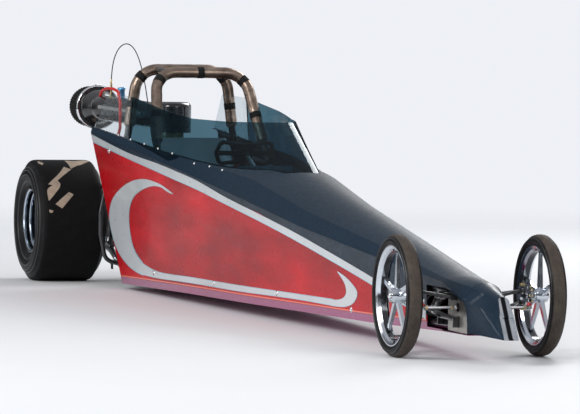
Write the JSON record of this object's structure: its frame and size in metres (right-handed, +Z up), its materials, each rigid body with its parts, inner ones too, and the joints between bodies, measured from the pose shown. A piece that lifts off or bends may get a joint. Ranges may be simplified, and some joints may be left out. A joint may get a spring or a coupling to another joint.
{
  "type": "drag racing car",
  "caption": "Long, low, rear-engined drag racing car with a tapering needle nose, thin tall front wheels, wide slick rear tyres, roll cage over the cockpit and an open engine.",
  "frame": {"origin": "on the ground, under the middle of the car's overall length and width", "axes": "+X forward to the nose, +Y to the car's left, +Z up"},
  "size_m": [6.97, 1.3338, 1.3787],
  "materials": {
    "black_paint": "gloss",
    "red_paint": "gloss",
    "magenta_paint": "gloss",
    "frame_paint": "gloss",
    "spring_paint": "gloss",
    "polished_aluminium": "polished",
    "brushed_aluminium": "brushed",
    "cast_aluminium": "cast",
    "seat_aluminium": "satin",
    "brass_plating": "satin",
    "chrome_plating": "polished",
    "brushed_steel": "satin",
    "cast_iron": "painted",
    "tyre_rubber": "matte",
    "cable_sleeve": "satin",
    "smoke_glass": "tinted",
    "clear_glass": "clear",
    "padding_cover": "woven",
    "filter_fabric": "pleated"
  },
  "bodies": {
    "chassis": {"cowl": "black_paint", "side_panel_right": "red_paint", "side_panel_left": "red_paint", "belly_pan": "magenta_paint", "nose_cone": "black_paint", "nose_plate": "polished_aluminium", "front_inner_panels": "brushed_aluminium", "windscreen": "smoke_glass", "rear_side_windows": "clear_glass", "chassis_frame": "frame_paint", "roll_cage": "frame_paint", "cage_padding": "padding_cover", "firewall": "brushed_aluminium", "engine_block": "cast_aluminium", "cylinder_heads": "cast_aluminium", "valve_covers": "polished_aluminium", "intake_manifold": "cast_aluminium", "carburettor": "brass_plating", "intake_duct": "black_paint", "air_filter": "filter_fabric", "exhaust_headers": "chrome_plating", "transmission": "cast_aluminium", "rear_axle_housing": "cast_iron", "wishbones": "frame_paint", "coil_over_dampers": "brushed_steel", "coil_over_springs": "spring_paint", "rack_housing": "brushed_aluminium", "steering_column": "brushed_steel", "dash_panel": "brushed_aluminium", "seat": "seat_aluminium", "throttle_cable": "cable_sleeve", "throttle_cable_ends": "brass_plating"},
    "rear_wheels": {"rear_spool": "brushed_steel", "rear_wheel_rims": "polished_aluminium", "rear_tyres": "tyre_rubber"},
    "steering_rack": {"steering_rack": "brushed_steel"},
    "steering_wheel": {"steering_wheel": "frame_paint"},
    "knuckle_right": {"knuckle_right": "chrome_plating"},
    "wheel_front_right": {"front_wheel_right": "polished_aluminium", "front_hub_right": "polished_aluminium", "front_tyre_right": "tyre_rubber"},
    "knuckle_left": {"knuckle_left": "chrome_plating"},
    "wheel_front_left": {"front_wheel_left": "polished_aluminium", "front_hub_left": "polished_aluminium", "front_tyre_left": "tyre_rubber"}
  },
  "joints": [
    {"name": "rear_axle_spin", "type": "hinge", "parent": "chassis", "child": "rear_wheels", "pos_m": [-3.137, 0, 0.348], "axis": [0, 1, 0], "continuous": true},
    {"name": "steer_left", "type": "hinge", "parent": "chassis", "child": "knuckle_left", "pos_m": [2.863, 0.262, 0.285], "axis": [0, 0, 1], "range_deg": [-15, 15]},
    {"name": "steer_right", "type": "hinge", "parent": "chassis", "child": "knuckle_right", "pos_m": [2.863, -0.262, 0.285], "axis": [0, 0, 1], "range_deg": [-15, 15]},
    {"name": "front_wheel_left_spin", "type": "hinge", "parent": "knuckle_left", "child": "wheel_front_left", "pos_m": [2.863, 0.35, 0.285], "axis": [0, 1, 0], "continuous": true},
    {"name": "front_wheel_right_spin", "type": "hinge", "parent": "knuckle_right", "child": "wheel_front_right", "pos_m": [2.863, -0.35, 0.285], "axis": [0, 1, 0], "continuous": true},
    {"name": "rack_slide", "type": "slide", "parent": "chassis", "child": "steering_rack", "axis": [0, 1, 0], "range_m": [-0.0265, 0.0265]},
    {"name": "steering_wheel_turn", "type": "hinge", "parent": "chassis", "child": "steering_wheel", "pos_m": [-0.917, 0, 0.8147], "axis": [-0.9397, 0, 0.342], "range_deg": [-90, 90]}
  ],
  "couplings": [
    {"joint": "steer_right", "follows": "steer_left", "ratio": 1},
    {"joint": "rack_slide", "follows": "steer_left", "m_per_rad": 0.1},
    {"joint": "steering_wheel_turn", "follows": "steer_left", "ratio": 6}
  ]
}
